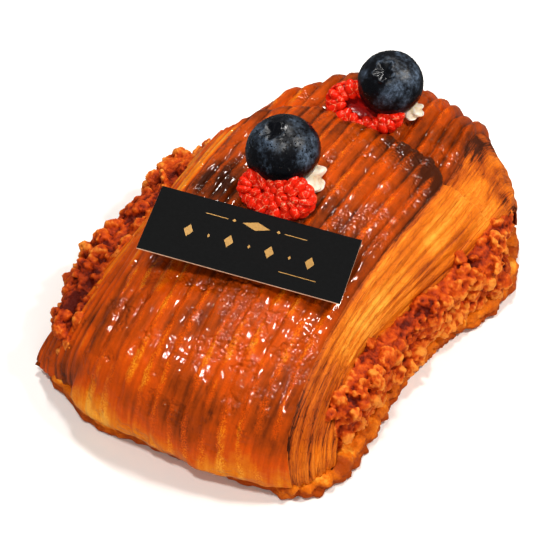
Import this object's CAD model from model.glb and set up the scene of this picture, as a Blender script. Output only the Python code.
"""Looks of a glazed turnover pastry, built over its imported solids.

The file is laid out as an add-on and run as a script. Shapes are worked out in millimetres in the
plan of the solids, and every mesh is written in metres with its place in its vertices. A toast
field on each baked surface runs from pale dough at 0 to dark crust at 1, and the finishes read it.
"""

import math
import random

import bmesh
import bpy
import numpy as np
from bpy.props import FloatProperty, FloatVectorProperty, PointerProperty
from mathutils import Matrix, Vector, noise


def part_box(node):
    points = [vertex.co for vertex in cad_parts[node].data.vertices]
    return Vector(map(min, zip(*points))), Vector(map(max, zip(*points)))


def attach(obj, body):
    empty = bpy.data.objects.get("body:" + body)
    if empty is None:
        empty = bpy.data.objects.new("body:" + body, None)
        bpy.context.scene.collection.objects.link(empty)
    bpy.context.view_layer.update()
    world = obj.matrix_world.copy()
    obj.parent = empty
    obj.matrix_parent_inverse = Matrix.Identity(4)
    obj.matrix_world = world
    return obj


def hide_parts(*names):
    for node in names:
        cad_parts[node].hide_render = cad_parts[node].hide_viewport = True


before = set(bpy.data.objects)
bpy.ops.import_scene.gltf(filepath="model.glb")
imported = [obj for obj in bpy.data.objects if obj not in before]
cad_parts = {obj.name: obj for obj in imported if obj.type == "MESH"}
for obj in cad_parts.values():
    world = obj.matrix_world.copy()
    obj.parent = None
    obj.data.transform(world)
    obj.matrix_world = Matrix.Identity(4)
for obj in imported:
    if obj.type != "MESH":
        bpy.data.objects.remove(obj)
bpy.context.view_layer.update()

bl_info = {
    "name": "Turnover Pastry",
    "version": (1, 0, 0),
    "blender": (4, 5, 0),
    "location": "3D View > Sidebar > Pastry",
    "description": "Builds a ridged, glazed pastry with its filling, fruit, cream and card",
    "category": "Add Mesh",
}

MM = 0.001
BODY = "root"
PLAN_SHIFT = (0.35, -2.95, 0.0)  # from the plan that the values below use to the frame

# Folded band of dough, with the solids' own values. Columns: crown y, crown z, inner edge y, inner
# edge z, and the x of the left inner edge, left top edge, right top edge and right inner edge.
BAND_ROWS = (
    (-55.2, 2.0, -42.0, 3.5, -39.0, -24.5, 31.5, 36.8),
    (-57.2, 6.0, -41.0, 5.5, -39.0, -24.8, 31.5, 36.8),
    (-57.6, 12.0, -39.0, 8.0, -38.6, -25.2, 31.0, 36.0),
    (-55.3, 18.5, -36.0, 10.2, -38.2, -25.0, 29.5, 34.8),
    (-50.0, 24.0, -31.5, 12.0, -37.8, -24.6, 28.2, 33.4),
    (-42.0, 28.2, -26.5, 13.2, -37.4, -24.4, 27.0, 32.0),
    (-32.0, 31.5, -21.0, 14.2, -37.0, -24.6, 26.0, 30.8),
    (-20.0, 34.0, -14.5, 14.8, -37.0, -25.2, 25.3, 30.4),
    (-8.0, 35.5, -7.0, 15.2, -37.0, -26.0, 25.2, 31.3),
    (5.0, 36.0, 4.0, 15.4, -37.2, -26.6, 25.3, 33.2),
    (18.0, 35.8, 15.0, 15.6, -37.4, -26.8, 25.5, 35.6),
    (28.0, 35.2, 24.0, 15.8, -37.6, -26.8, 25.8, 37.4),
    (38.0, 34.4, 34.0, 16.0, -37.4, -26.6, 25.2, 38.6),
    (48.0, 33.6, 41.0, 15.6, -37.0, -26.4, 24.0, 38.8),
    (57.5, 31.6, 46.0, 14.0, -37.0, -26.4, 22.8, 38.4),
    (63.6, 26.6, 48.5, 11.5, -37.4, -26.8, 23.0, 38.0),
    (66.3, 17.5, 49.5, 8.8, -37.8, -27.4, 25.0, 37.6),
    (65.2, 9.0, 50.0, 6.0, -38.0, -27.6, 27.0, 37.6),
    (62.2, 2.0, 50.5, 3.5, -38.0, -27.6, 28.0, 37.6),
)
MIDDLE_ROW = 9
CROWN_DROPS = ((20.0, 5.0, 5.0, 2.4), (50.0, 4.0, 4.0, 1.6))
CORNER_SHIFT = 18.0
CORNER_PLACE = -8.0
CORNER_WIDTH = 22.0
CORNER_REACH = 45.0
CORNER_POWER = 1.3
FRONT_SKEW = -0.05
LIP_LINE = ((-29.0, 38.5), (-18.0, 37.0), (-5.0, 31.0), (12.0, 33.0), (20.0, 33.0), (26.0, 30.0))
LEFT_FLARE = (-2.4, -4.2, -2.0)  # how far the foot of the front flap spreads at the left
LIP_FALL = 3.2  # length over which the lip rounds down to the back flap
LIP_SIDE_RUN = 9.0  # how much further back the lip lies at the foot of a cut side than at its top
SEED = 11
RIDGE_WIDTHS = (3.4, 4.7)
RIDGE_HEIGHTS = (0.7, 1.2)
RIDGE_CREST = 0.34
RIDGE_LEAN = 0.1
BACK_RIDGE_GAIN = 0.9
BACK_RIDGE_STRETCH = (25.0, 55.0)
FRONT_RIDGE_LOSS = 0.85
FRONT_RIDGE_STRETCH = (10.0, 25.0)
WANDER = 0.5
WANDER_RATE = 0.045
SIDE_BULGE = 1.4
UNDERSIDE_ARCH = 2.5

# Fineness of the dough's surfaces
TOP_STEP = 0.4
SIDE_STEP = 0.5
ROW_STEP = 0.5
UNDER_COLUMNS = 14
NOSE_STEPS = 16
SHEET_SCALE = 0.01  # of a sheet coordinate for each millimetre along or across the dough
OVERLAP = 6.0  # length of the back flap that lies under the lip

# Base sheet, with the solids' own outline
BASE_OUTLINE = (
    (-36.0, -51.0), (-29.7, -54.1), (-21.7, -57.5), (-14.6, -57.9), (-6.0, -56.5), (8.0, -55.4),
    (22.0, -54.9), (33.5, -52.9), (38.6, -45.9), (39.6, -34.0), (38.6, -22.0), (37.6, -10.0), (38.4, 2.0),
    (41.5, 14.0), (44.8, 24.0), (45.6, 32.0), (42.0, 40.5), (38.0, 47.5), (29.0, 55.0),
    (16.0, 62.0), (0.0, 62.2), (-12.0, 59.0), (-22.0, 58.0), (-32.0, 55.0), (-39.5, 44.0),
    (-42.0, 28.0), (-41.5, 10.0), (-40.0, -8.0), (-41.5, -24.0), (-42.3, -42.9),
)
# Section of the base sheet's edge, from the underside to the top: inset and level
BASE_PROFILE = (
    (9.0, 0.0), (2.0, 0.0), (0.5, 0.0), (0.1, 0.4), (-0.1, 1.0), (0.1, 1.6), (0.45, 2.0), (0.15, 2.4),
    (0.0, 3.0), (0.15, 3.6), (0.6, 4.1), (1.4, 4.4), (3.0, 4.5), (7.0, 4.5), (14.0, 4.4),
)
BASE_STEP = 0.6  # fineness of the base sheet's edge

# Places on the glaze where small blisters crowd: x, y, radius and strength
BLISTERS = (
    (3.0, -27.5, 4.5, 1.0), (8.5, -31.5, 5.0, 1.0), (6.8, -39.0, 4.0, 0.9), (20.0, -32.5, 4.0, 0.8),
    (24.5, -36.0, 4.5, 0.9), (16.5, -45.5, 4.0, 0.5), (19.0, 7.0, 5.5, 1.0), (23.0, 2.5, 4.0, 1.0),
    (28.0, 24.5, 4.0, 0.9), (10.5, 2.0, 3.5, 0.6), (-19.0, -38.0, 4.0, 0.5), (-22.0, 10.0, 5.0, 0.5),
    (0.0, 52.0, 6.0, 0.7), (14.0, 30.0, 5.0, 0.6),
)

# Filling: how far out its open sides begin, and the smoothing that pits are measured against
OPEN_SIDE_X = 28.0
PIT_STEPS = 8
BROAD_PIT_STEPS = 40
CRUMB_SEED = 4

# Toppings, where they lie once settled on the ridges
DROPLET_SEED = 6
DRUPELET_FINENESS = 4
BERRY_FLATNESS = 0.9
BERRIES = {
    "blueberry_front": {"radius": 9.0, "calyx": (-0.24, -0.28, 0.93), "wet": True, "seed": 3},
    "blueberry_back": {"radius": 8.2, "calyx": (-0.07, -0.43, 0.90), "wet": False, "seed": 8},
}
RASPBERRIES = {
    "raspberry_front": {"half_size": (9.8, 5.7), "centre": (-1.9, -2.5, 40.87), "along": (0.985, 0.17, 0.0),
                        "lean": 50.0, "hollow": 0.9, "seed": 5,
                        "rings": ((0.78, 17, 1.9), (0.52, 13, 1.9), (0.24, 7, 1.6))},
    "raspberry_back": {"half_size": (10.4, 5.9), "centre": (-0.9, 37.8, 36.33), "along": (0.99, 0.12, 0.0),
                       "lean": 46.0, "hollow": 3.0, "seed": 9, "rings": ((0.80, 17, 1.9), (0.62, 14, 1.8))},
}
CREAMS = {
    "cream_front": {"half_size": (5.2, 6.6, 4.4), "place": (-0.5, 7.2), "level": 37.69, "lobes": 6},
    "cream_back": {"half_size": (2.6, 3.0, 1.8), "place": (8.6, 46.0), "level": 32.93, "lobes": 5},
}
CARD_SIZE = (49.0, 19.6, 0.4)
CARD_TURNS = ((15.0, "Z"), (2.0, "X"), (6.0, "Y"))
CARD_ROUNDING = 0.06
PRINT_MARKS = 7
PRINT_SPACING = 4.9
PRINT_MARK_HEIGHTS = (1.9, 0.6)
PRINT_TOP = 5.4
PRINT_THICKNESS = 0.03

# Stage, in metres and watts
FLOOR_REACH = 3.0
FLOOR_DROP = 0.0003
WORLD_STRENGTH = 0.14
LIGHTS = (
    ("key", (0.40, 0.22, 0.64), 0.10, 3.1, (1.0, 0.96, 0.91)),
    ("back softbox", (-0.21, 0.33, 0.69), 0.10, 2.5, (1.0, 0.98, 0.95)),
    ("front softbox", (0.0, -0.26, 0.76), 0.08, 2.1, (1.0, 0.98, 0.95)),
    ("fill", (0.55, -0.75, 0.45), 0.6, 2.8, (1.0, 0.97, 0.94)),
)

# Whole numbers and a turn that random fields are mixed with
HASH_PRIMES = np.array((374761393, 668265263, 1442695041))
TWIST = np.array(((0.80, 0.36, -0.48), (-0.60, 0.48, -0.64), (0.0, 0.80, 0.60)))


def linear(hex_colour):
    """Linear red, green and blue of an sRGB hex colour."""
    channels = [int(hex_colour[i:i + 2], 16) / 255 for i in (1, 3, 5)]
    return tuple(c / 12.92 if c <= 0.04045 else ((c + 0.055) / 1.055) ** 2.4 for c in channels)


def colour_property(name, description, hex_colour):
    return FloatVectorProperty(
        name=name, description=description, default=linear(hex_colour), subtype="COLOR", size=3, min=0.0,
        max=1.0)


def length_property(name, description, value):
    return FloatProperty(name=name, description=description, default=value, min=0.0, unit="LENGTH")


class PastryDoughSettings(bpy.types.PropertyGroup):
    lip_height: length_property("Lip Height", "Step from the front flap down to the back flap", 3.2 * MM)
    ridge_relief: FloatProperty(
        name="Ridge Relief", description="Height of the ridges, as a share of the solid's", default=0.78,
        min=0.0)
    layer_relief: length_property("Layer Relief", "Depth of the lines between cut layers", 0.4 * MM)
    glaze_pale: colour_property("Pale Dough", "Dough that the oven has hardly browned", "#F2A83A")
    glaze_gold: colour_property("Gold Glaze", "Thinly glazed dough", "#E08014")
    glaze_amber: colour_property("Amber Glaze", "Most of the glazed top", "#CC5306")
    glaze_brown: colour_property("Brown Glaze", "Well browned glaze", "#9C4208")
    glaze_dark: colour_property("Dark Crust", "Crust in the deep grooves", "#481F08")
    cut_light: colour_property("Cut Dough", "Light layers on the cut sides", "#F2AC40")
    cut_mid: colour_property("Cut Dough Middle", "Most of the cut sides", "#DE780F")
    cut_dark: colour_property("Cut Dough Lines", "Lines between the layers", "#A84A08")


class PastryFillingSettings(bpy.types.PropertyGroup):
    crumb_size: length_property("Crumb Size", "Usual radius of a crumb", 2.5 * MM)
    crumb_spacing: length_property("Crumb Spacing", "Usual distance between crumbs", 3.6 * MM)
    voxel: length_property("Fineness", "Size of the grid that fuses the crumbs", 0.38 * MM)
    crumb_light: colour_property("Light Crumb", "Broken and raised crumbs", "#EA9038")
    crumb_mid: colour_property("Baked Crumb", "Most of the crumbs", "#C8540C")
    crumb_brown: colour_property("Brown Crumb", "Caramelised crumbs", "#A63A08")
    crumb_dark: colour_property("Crumb Recess", "Deep between the crumbs", "#5C1403")


class PastryToppingSettings(bpy.types.PropertyGroup):
    skin: colour_property("Berry Skin", "Dark skin where the bloom is rubbed off", "#0B0D13")
    bloom: colour_property("Berry Bloom", "Wax on the skin", "#66778C")
    droplet_size: length_property("Droplet Size", "Usual radius of a drop on the berry", 0.16 * MM)
    droplet_spacing: length_property("Droplet Spacing", "Usual distance between drops", 1.1 * MM)
    drupelet: colour_property("Drupelet", "Juicy raspberry flesh", "#E62C12")
    pith: colour_property("Pith", "Pale walls between the drupelets", "#F7A27A")
    juice: colour_property("Juice", "Dark flesh in the hollow", "#A80C06")
    cream: colour_property("Cream", "Whipped cream", "#F6EEE2")
    paper: colour_property("Card", "Black card", "#0E0F10")
    paper_edge: colour_property("Card Edge", "Bare edge of the card", "#D6B49A")
    foil: colour_property("Print", "Gold print on the card", "#96702C")


class PastryStageSettings(bpy.types.PropertyGroup):
    azimuth: FloatProperty(
        name="Azimuth", description="Camera's turn round the pastry from its front",
        default=math.radians(31.0), subtype="ANGLE")
    elevation: FloatProperty(
        name="Elevation", description="Camera's height above the floor", default=math.radians(48.0),
        subtype="ANGLE")
    distance: FloatProperty(
        name="Distance", description="From the camera to its aim", default=0.576, min=0.01, unit="LENGTH")
    lens: FloatProperty(name="Lens", description="Focal length in millimetres", default=154.3, min=1.0)
    aim: FloatVectorProperty(
        name="Aim", description="Point that the camera looks at", default=(0.00285, -0.01045, 0.018), size=3,
        subtype="XYZ", unit="LENGTH")
    floor: colour_property("Floor", "Pale floor", "#FBFAF8")


class PastrySettings(bpy.types.PropertyGroup):
    dough: PointerProperty(
        name="Dough", description="Sizes and colours of the dough", type=PastryDoughSettings)
    filling: PointerProperty(
        name="Filling", description="Sizes and colours of the filling", type=PastryFillingSettings)
    topping: PointerProperty(
        name="Toppings", description="Sizes and colours of the toppings", type=PastryToppingSettings)
    stage: PointerProperty(name="Stage", description="Camera and floor", type=PastryStageSettings)


def smooth_step(value):
    u = np.clip(value, 0.0, 1.0)
    return u * u * (3.0 - 2.0 * u)


def ramp(value, start, end):
    return smooth_step((value - start) / (end - start))


def blob(x, y, centre_x, centre_y, radius):
    """Round patch that fades from 1 at its centre."""
    return np.exp(-((x - centre_x) ** 2 + (y - centre_y) ** 2) / radius**2)


def random_field(points, size, seed=0):
    """Smooth random value of about -1 to 1 at each point, in lumps of the given size."""
    grid = np.asarray(points, float) @ TWIST / size + 31.7 * seed
    cell = np.floor(grid).astype(np.int64)
    part = grid - cell
    blend = part**3 * (part * (part * 6.0 - 15.0) + 10.0)
    total = np.zeros(grid.shape[:-1])
    for corner in np.ndindex(2, 2, 2):
        code = ((cell + corner) * HASH_PRIMES).sum(-1) & 0xFFFFFFFF
        code = (code ^ (code >> 15)) * 0x2C1B3C6D & 0xFFFFFFFF
        code = (code ^ (code >> 12)) * 0x297A2D39 & 0xFFFFFFFF
        value = (code ^ (code >> 15)) / 0x7FFFFFFF - 1.0
        total += value * np.where(np.array(corner) == 1, blend, 1.0 - blend).prod(-1)
    return 1.3 * total


def rough_field(points, size, octaves=3, seed=0):
    """Sum of random fields, each half as large and half as strong as the last."""
    return sum(random_field(points, size / 2**i, seed + i) / 2**i for i in range(octaves))


def read_rows(rows, knots, at):
    """Smooth curve through rows of numbers, each with its knot, read at an array of values."""
    slopes = np.gradient(rows, knots, axis=0)
    index = np.clip(np.searchsorted(knots, at, side="right") - 1, 0, len(knots) - 2)
    span = (knots[index + 1] - knots[index])[..., None]
    u = (at - knots[index])[..., None] / span
    start = (2 * u**3 - 3 * u**2 + 1) * rows[index] + (u**3 - 2 * u**2 + u) * span * slopes[index]
    end = (3 * u**2 - 2 * u**3) * rows[index + 1] + (u**3 - u**2) * span * slopes[index + 1]
    return start + end


def plan_y(x, y):
    """Plan y once the front is skewed and the back left corner is rounded."""
    front = np.clip(-y / CORNER_REACH, 0.0, 1.0)
    across = np.clip((CORNER_PLACE - x) / CORNER_WIDTH, 0.0, 1.0) ** CORNER_POWER
    along = np.clip(y / CORNER_REACH, 0.0, 1.0) ** CORNER_POWER
    return y - CORNER_SHIFT * across * along - FRONT_SKEW * x * front


def crown_drop(y, across):
    near, far = np.array(CROWN_DROPS)
    drop = near + (far - near) * ramp(y, near[0], far[0])[..., None]
    fall = np.where(across < 0, drop[..., 1], drop[..., 2])
    return fall * np.abs(across) ** drop[..., 3]


def band_curve():
    """Rows of the band and the length along the crown at each."""
    rows = np.array(BAND_ROWS)
    knots = np.concatenate([[0.0], np.cumsum(np.hypot(*np.diff(rows[:, :2], axis=0).T))])
    return rows, knots


def ridge_table():
    """Edges of the ridges as shares of the width, with each ridge's height and lean."""
    rng = random.Random(SEED)
    width = BAND_ROWS[MIDDLE_ROW][6] - BAND_ROWS[MIDDLE_ROW][5]
    edges = [0.0]
    while edges[-1] < width:
        edges.append(edges[-1] + rng.uniform(*RIDGE_WIDTHS))
    edges = np.array(edges) / edges[-1]
    draws = [(rng.uniform(*RIDGE_HEIGHTS), rng.uniform(-RIDGE_LEAN, RIDGE_LEAN)) for _ in edges[1:]]
    heights, leans = np.array(draws).T
    return edges, heights, leans


def ridge_drift(count, length):
    """Sideways drift of each ridge's left edge, one value for each millimetre along the sheet."""
    places = np.arange(0.0, length + 2.0)
    return np.array([[WANDER * noise.noise(Vector((k * 7.3, place * WANDER_RATE, 2.0))) for place in places]
                     for k in range(count + 1)])


LEFT, TOP, RIGHT, UNDER = range(4)


def band_columns():
    """Columns round the band's section: the face that each lies on and its place there, 0 to 1."""
    width = BAND_ROWS[MIDDLE_ROW][6] - BAND_ROWS[MIDDLE_ROW][5]
    depth = BAND_ROWS[MIDDLE_ROW][1] - BAND_ROWS[MIDDLE_ROW][3]
    side = np.linspace(0.0, 1.0, round(1.2 * depth / SIDE_STEP))
    top = np.linspace(0.0, 1.0, round(width / TOP_STEP))
    under = np.linspace(0.0, 1.0, UNDER_COLUMNS + 2)[1:-1]
    faces = [np.full(len(part), number) for number, part in enumerate((side[1:], top, side[1:], under))]
    return np.concatenate(faces), np.concatenate([side[:0:-1], top, side[1:], under])


def band_points(s, face, u, drop, inset=0.0, ridge_share=1.0):
    """Surface of the band at length s along it, with the fields that its finish needs.

    s is one row of places for each station; face and u name the columns; drop lowers the top,
    inset narrows the sides and ridge_share lowers the ridges.
    """
    rows, knots = band_curve()
    row = np.moveaxis(read_rows(rows, knots, s), -1, 0)
    edges, heights, leans = ridge_table()
    share = np.where(face == TOP, u, np.where(face == LEFT, 0.0, 1.0)) + 0.0 * s
    across = 2.0 * share - 1.0
    k = np.clip(np.searchsorted(edges, share, side="right") - 1, 0, len(heights) - 1)
    w = np.clip((share - edges[k]) / (edges[k + 1] - edges[k]), 0.0, 1.0)
    drift = ridge_drift(len(heights), knots[-1])
    place = np.clip(s, 0.0, knots[-1])
    below = np.floor(place).astype(int)
    part = place - below
    left_drift = drift[k, below] * (1 - part) + drift[k, below + 1] * part
    right_drift = drift[k + 1, below] * (1 - part) + drift[k + 1, below + 1] * part
    crest = RIDGE_CREST + leans[k]
    rise = smooth_step(w / crest)
    fall = 1.0 - np.clip((w - crest) / (1.0 - crest), 0.0, 1.0) ** 2.6
    gain = 1.0 + BACK_RIDGE_GAIN * ramp(row[0], *BACK_RIDGE_STRETCH)
    gain *= 1.0 - 0.25 * (1.0 - ramp(row[0], -30.0, -5.0))
    foot = np.where(row[0] < 0.0, 1.0 - ramp(row[1], *FRONT_RIDGE_STRETCH), 0.0)
    gain -= FRONT_RIDGE_LOSS * foot * (0.5 + 0.5 * ramp(across, -0.9, -0.2))
    ridge = ridge_share * heights[k] * gain * (1.0 + left_drift) * rise * fall
    top_x = row[5] + (row[6] - row[5]) * share
    top_x += (left_drift + (right_drift - left_drift) * w) * (1.0 - np.abs(across))
    start = crown_drop(row[0], across) + drop
    reach = np.hypot(row[2] - row[0], row[3] - row[1])
    side = np.where(face == LEFT, -1.0, 1.0)
    inner_x = np.where(face == LEFT, row[4], row[7])
    bulge = SIDE_BULGE * np.sin(np.pi * u)
    x = np.select(
        [face == TOP, face == UNDER],
        [top_x, row[7] + (row[4] - row[7]) * u],
        top_x + (inner_x - top_x) * u + side * (bulge - inset))
    depth = np.select(
        [face == TOP, face == UNDER],
        [start - ridge, reach - UNDERSIDE_ARCH * np.sin(np.pi * u)],
        start + (reach - start) * u)
    inward = np.stack([0.0 * x, row[2] - row[0], row[3] - row[1]], -1) / reach[..., None]
    points = np.stack([x, row[0], row[1]], -1) + inward * depth[..., None]
    points[..., 1] = plan_y(points[..., 0], points[..., 1])
    return points, {"w": w, "k": k, "s": s + 0.0 * u, "u": u + 0.0 * s}


def grid_normals(points):
    """Outward normals of a grid of stations whose columns close on themselves."""
    along = np.gradient(points, axis=0)
    around = np.roll(points, -1, axis=1) - np.roll(points, 1, axis=1)
    normal = np.cross(around, along)
    return normal / np.maximum(np.linalg.norm(normal, axis=-1, keepdims=True), 1e-9)


def dough_detail(points, fields, face):
    """Fine relief of the top and the sides, how toasted each of them is, and the top's pale strips.

    w is the place across a ridge, k its number, s the length along the band and u the way down a side.
    """
    x, y, z = np.moveaxis(points, -1, 0)
    w, k, s, u = fields["w"], fields["k"], fields["s"], fields["u"]
    sheet = np.stack([x, s * 0.12, 9.0 * (face == TOP) + 0.0 * s], -1)
    front_foot = np.where(y < 0, 1.0 - ramp(z, 8.0, 22.0), 0.0) * (0.4 + 0.6 * ramp(x, -26.0, -8.0))
    fine = 1.0 - np.abs(random_field(sheet, 0.9, 2)) * 2.0
    ridge_life = random_field(np.stack([k * 5.0, s / 9.0, 0.0 * s], -1), 1.0, 4)
    ragged = 0.10 * random_field(points, 1.3, 10)
    pale = ramp(w + ragged, 0.0, 0.12) * (1.0 - ramp(w + ragged, 0.32, 0.60))
    pale *= np.clip(0.66 + 0.9 * ridge_life + 0.5 * rough_field(points, 7.0, 2, 14), 0.0, 1.0)
    width = (RIDGE_WIDTHS[0] + RIDGE_WIDTHS[1]) / 2
    groove = np.exp(-((np.minimum(w, 1.0 - w) * width / 0.3) ** 2)) * (1.0 - 0.7 * front_foot)
    relief_top = 0.10 * fine * (1.0 - front_foot) - (0.15 + 0.15 * ramp(y, -12.0, 4.0)) * groove
    low = np.where(y < 0, 1.0 - ramp(z, 4.0, 16.0), 0.0)
    relief_top += low * (0.6 + 1.9 * (1.0 - ramp(x, -24.0, -2.0)) + 0.7 * rough_field(points, 9.0, 3, 6))
    relief_top += 0.18 * rough_field(points, 3.0, 2, 5)
    toast_top = 0.64 + 0.14 * rough_field(points, 15.0, 3, 1) + 0.05 * fine
    toast_top += 0.16 * np.where(y < -30.0, blob(x, z, 6.0, 15.0, 8.0), 0.0) - 0.04 * front_foot
    toast_top -= 0.32 * np.where(y < 0.0, 1.0 - ramp(z, 5.0, 17.0), 0.0)
    toast_top += 0.14 * blob(x, y, 12.0, 8.0, 16.0) + 0.24 * blob(x, y, -17.0, 2.0, 9.0)
    toast_top += 0.02 * ramp(y, -30.0, 0.0) + (0.04 + 0.14 * ramp(y, -12.0, 4.0)) * groove
    toast_top -= 0.22 * pale * (1.0 - 0.6 * front_foot)
    side_x = np.where(face == LEFT, -1.0, 1.0)
    lines = np.stack([u * 20.0, s * 0.06 + side_x, side_x * 40.0 + 0.0 * s], -1)
    crack = np.exp(-((random_field(lines, 2.4, 7) / 0.10) ** 2))
    crack *= ramp(random_field(points, 9.0, 11), -0.5, 0.3)
    thread = random_field(lines, 0.9, 13)
    broad = random_field(lines, 2.6, 8)
    relief_side = 0.6 * broad + 0.35 * thread - 0.9 * crack
    toast_side = 0.38 + 0.24 * crack + 0.07 * thread + 0.07 * broad + 0.16 * rough_field(points, 9.0, 3, 9)
    toast_side += 0.25 * ramp(u, 0.9, 1.0) * (face == RIGHT) + 0.16 * (1.0 - ramp(u, 0.0, 0.06))
    toast_side += 0.14 * (1.0 - ramp(y, -40.0, -10.0)) + 0.26 * ramp(y, 36.0, 46.0)
    folds = (u * 8.0 + 0.35 * random_field(lines, 6.0, 17)) % 1.0
    on_left = (face == LEFT) * (1.0 - ramp(y, 20.0, 40.0))
    relief_side += on_left * 1.5 * np.sin(np.pi * folds)
    toast_side += on_left * (0.14 - 0.16 * np.sin(np.pi * folds) + 0.10 * random_field(lines, 1.2, 23))
    strands = (u * 7.0 + 0.3 * random_field(lines, 6.0, 19)) % 1.0
    on_right = (face == RIGHT) * (1.0 - ramp(y, 20.0, 40.0))
    relief_side += on_right * 1.1 * np.sin(np.pi * strands)
    toast_side += on_right * (0.20 * (1.0 - np.sin(np.pi * strands)) ** 2 - 0.03)
    return relief_top, relief_side, toast_top, toast_side, pale


def new_object(name, data):
    """Object with the given data, linked to the scene."""
    obj = bpy.data.objects.new(name, data)
    bpy.context.scene.collection.objects.link(obj)
    return obj


def write_mesh(name, points, faces, materials, fields=None, uv=None, face_slots=None):
    """New object in the frame from points in millimetres of the plan."""
    mesh = bpy.data.meshes.new(name)
    mesh.from_pydata(((points + PLAN_SHIFT) * MM).tolist(), [], faces)
    for material in materials:
        mesh.materials.append(material)
    for key, values in (fields or {}).items():
        attribute = mesh.attributes.new(key, "FLOAT", "POINT")
        attribute.data.foreach_set("value", np.asarray(values, np.float32).ravel())
    if uv is not None:
        corner = np.empty(len(mesh.loops), np.int32)
        mesh.loops.foreach_get("vertex_index", corner)
        mesh.uv_layers.new(name="sheet").data.foreach_set("uv", uv[corner].astype(np.float32).ravel())
    if face_slots is not None:
        mesh.polygons.foreach_set("material_index", np.asarray(face_slots, np.int32))
    mesh.shade_smooth()
    mesh.update()
    return new_object(name, mesh)


def close_grid(points, field, end_values):
    """Points and field of a grid in rows, with a point added in the middle of each open end."""
    ends = np.stack([points[0].mean(0), points[-1].mean(0)])
    return np.concatenate([points.reshape(-1, 3), ends]), np.concatenate([field.ravel(), end_values])


def grid_faces(rows, columns):
    """Quads of a grid whose columns close on themselves, facing outwards, and its two end fans."""
    near_row = np.arange(rows - 1)[:, None] * columns
    far_row = near_row + columns
    here = np.arange(columns)
    right = (here + 1) % columns
    quads = np.stack([near_row + here, far_row + here, far_row + right, near_row + right], -1)
    faces = quads.reshape(-1, 4).tolist()
    near, far = rows * columns, rows * columns + 1
    last = (rows - 1) * columns
    for j in range(columns):
        following = (j + 1) % columns
        faces.append((near, j, following))
        faces.append((far, last + following, last + j))
    return faces


def write_band(name, points, toast, face, materials, uv, pale=None):
    """Closed mesh of a stretch of the band, glazed on top and matte where it is cut."""
    rows, columns = points.shape[:2]
    flat, field = close_grid(points, toast, (0.6, 0.6))
    _, strip = close_grid(points, 0.0 * toast if pale is None else pale, (0.0, 0.0))
    sheet = np.concatenate([uv.reshape(-1, 2), np.zeros((2, 2))]) * SHEET_SCALE
    blisters = sum(strength * blob(*flat.T[:2], x, y, radius) for x, y, radius, strength in BLISTERS)
    glazed = (face == TOP) & (np.roll(face, -1) == TOP) | (face == LEFT) & (np.roll(face, -1) != UNDER)
    slots = np.concatenate([np.tile(np.where(glazed, 0, 1), rows - 1), np.ones(2 * columns, int)])
    faces = [corners[::-1] for corners in grid_faces(rows, columns)]
    return write_mesh(
        name, flat, faces, materials, {"toast": field, "pale": strip, "blisters": blisters}, sheet, slots)


def lip_places(face, u):
    """Length along the band at which the front flap ends, for each column."""
    rows, knots = band_curve()
    fine = np.linspace(knots[4], knots[15], 400)
    crown = read_rows(rows, knots, fine)
    x = np.interp(u, (0.0, 1.0), (BAND_ROWS[MIDDLE_ROW][5], BAND_ROWS[MIDDLE_ROW][6]))
    line = np.array(LIP_LINE)
    y = np.interp(x, *line.T) + 0.5 * random_field(np.stack([x, 0 * x, 0 * x], -1), 2.2, 12)
    y = np.select(
        [face == LEFT, face == RIGHT, face == UNDER],
        [line[0, 1] + 0.4 * LIP_SIDE_RUN * u, line[-1, 1] + LIP_SIDE_RUN * u**0.6,
         line[-1, 1] + LIP_SIDE_RUN], y)
    return np.interp(y, crown[:, 0], fine)


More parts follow.
